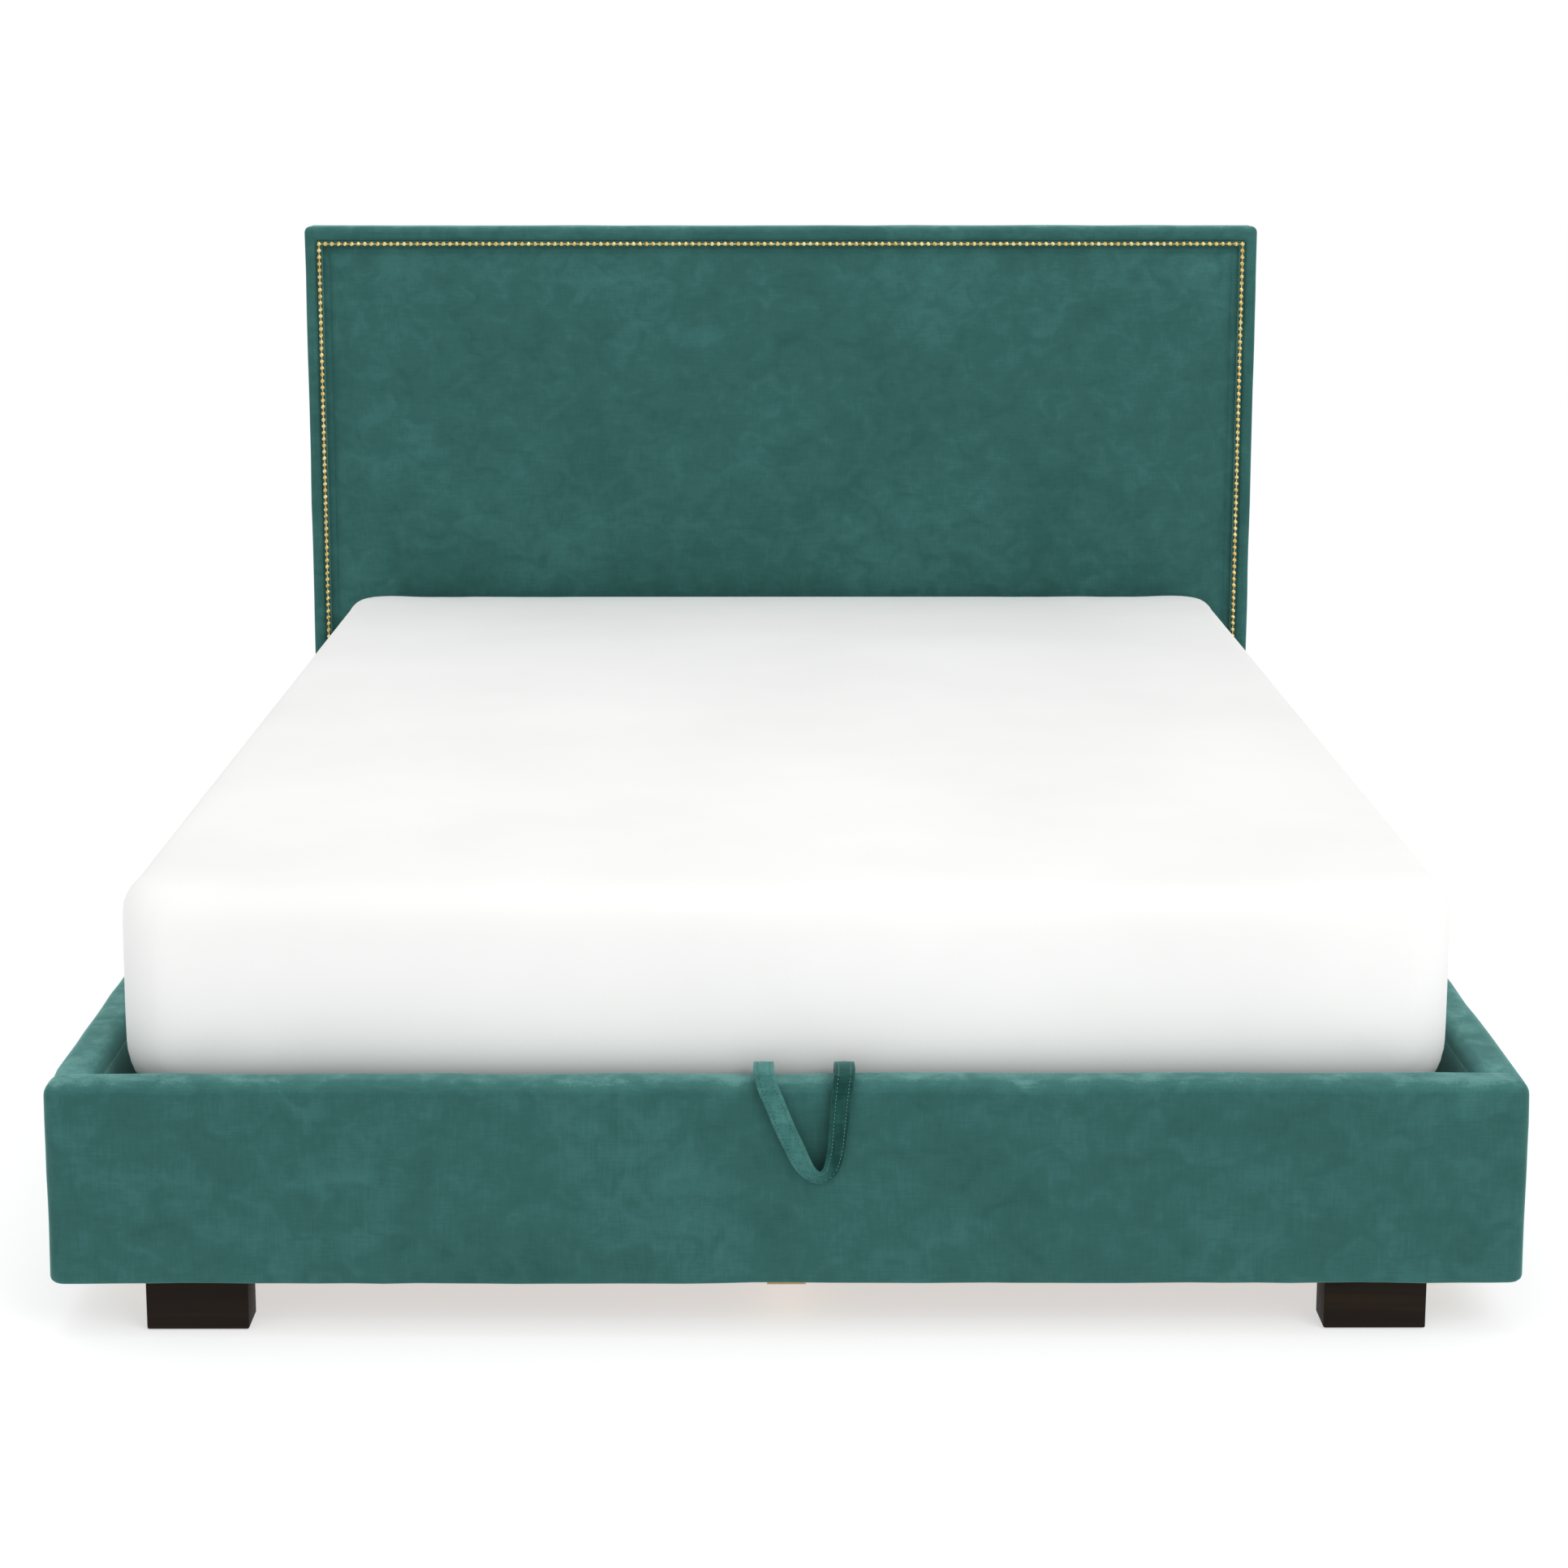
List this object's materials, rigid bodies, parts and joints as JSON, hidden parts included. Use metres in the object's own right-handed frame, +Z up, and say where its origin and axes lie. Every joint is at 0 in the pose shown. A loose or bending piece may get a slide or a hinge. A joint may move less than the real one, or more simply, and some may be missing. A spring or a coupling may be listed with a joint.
{
  "type": "upholstered headboard bed",
  "caption": "Upholstered bed with a tall nailhead-trimmed headboard, padded rails, block feet and a mattress on a gas-lift slatted deck raised by a fabric pull loop.",
  "frame": {"origin": "on the floor, under the middle of the bed's whole length and width", "axes": "+Y towards the head of the bed, +X to the right seen from the foot, +Z up"},
  "size_m": [1.65, 2.21, 1.136],
  "materials": {
    "velvet": "matte",
    "nail_brass": "satin",
    "pine": "matte",
    "stained_wood": "satin",
    "beech": "satin",
    "hardboard": "matte",
    "dust_cover": "matte",
    "black_steel": "satin",
    "zinc_steel": "satin",
    "chrome_rod": "polished",
    "mattress_cotton": "matte"
  },
  "bodies": {
    "base": {"headboard_core": "pine", "headboard_center_pad": "velvet", "headboard_border_pad": "velvet", "nail_strip": "nail_brass", "headboard_back_cover": "dust_cover", "headboard_post_left": "stained_wood", "headboard_post_right": "stained_wood", "foot_rail_cover": "velvet", "foot_rail_board": "pine", "side_rail_left_cover": "velvet", "side_rail_left_board": "pine", "side_rail_right_cover": "velvet", "side_rail_right_board": "pine", "foot_left": "stained_wood", "foot_right": "stained_wood", "floor_ledger_left": "pine", "floor_ledger_right": "pine", "floor_panel_left": "hardboard", "floor_panel_right": "hardboard", "center_beam": "pine", "center_leg_front": "stained_wood", "center_leg_rear": "stained_wood", "corner_bracket_front_left": "zinc_steel", "corner_bracket_front_right": "zinc_steel", "corner_bracket_rear_left": "zinc_steel", "corner_bracket_rear_right": "zinc_steel", "lift_base_plate_left": "zinc_steel", "lift_base_plate_right": "zinc_steel"},
    "rear_links": {"rear_link_left": "black_steel", "rear_link_right": "black_steel"},
    "front_links": {"front_link_left": "black_steel", "front_link_right": "black_steel"},
    "gas_cylinders": {"gas_cylinder_left": "black_steel", "gas_cylinder_right": "black_steel"},
    "gas_rods": {"gas_rod_left": "chrome_rod", "gas_rod_right": "chrome_rod"},
    "deck": {"lift_arm_left": "black_steel", "lift_arm_right": "black_steel", "deck_side_left": "black_steel", "deck_side_right": "black_steel", "deck_foot_bar": "black_steel", "deck_head_bar": "black_steel", "deck_center_bar": "black_steel", "slat_01": "beech", "slat_02": "beech", "slat_03": "beech", "slat_04": "beech", "slat_05": "beech", "slat_06": "beech", "slat_07": "beech", "slat_08": "beech", "slat_09": "beech", "slat_10": "beech", "slat_11": "beech", "slat_12": "beech", "mattress": "mattress_cotton", "mattress_stop_left": "black_steel", "mattress_stop_right": "black_steel", "strap_tail": "velvet"},
    "pull_loop": {"pull_loop": "velvet"}
  },
  "joints": [
    {"name": "lift", "type": "hinge", "parent": "base", "child": "rear_links", "pos_m": [0, 0.599, 0.105], "axis": [1, 0, 0], "range_deg": [0, 73.8]},
    {"name": "deck_tilt", "type": "hinge", "parent": "rear_links", "child": "deck", "pos_m": [0, 0.78, 0.19], "axis": [1, 0, 0], "range_deg": [-105, 0]},
    {"name": "front_link_swing", "type": "hinge", "parent": "base", "child": "front_links", "pos_m": [0, 0.37614, 0.09296], "axis": [1, 0, 0], "range_deg": [0, 59.54]},
    {"name": "gas_cylinder_swing", "type": "hinge", "parent": "base", "child": "gas_cylinders", "pos_m": [0, 0.92, 0.105], "axis": [1, 0, 0], "range_deg": [-6.06, 0]},
    {"name": "gas_rod_stroke", "type": "slide", "parent": "gas_cylinders", "child": "gas_rods", "axis": [0, -0.9856, 0.1693], "range_m": [0, 0.1107]},
    {"name": "loop_swing", "type": "hinge", "parent": "deck", "child": "pull_loop", "pos_m": [0, -1.097, 0.298], "axis": [-1, 0, 0], "range_deg": [0, 95]}
  ],
  "couplings": [
    {"joint": "deck_tilt", "follows": "lift", "ratio": -1.42},
    {"joint": "front_link_swing", "follows": "lift", "ratio": 0.804},
    {"joint": "gas_cylinder_swing", "follows": "lift", "ratio": -0.079458},
    {"joint": "gas_rod_stroke", "follows": "lift", "m_per_rad": 0.085556}
  ]
}
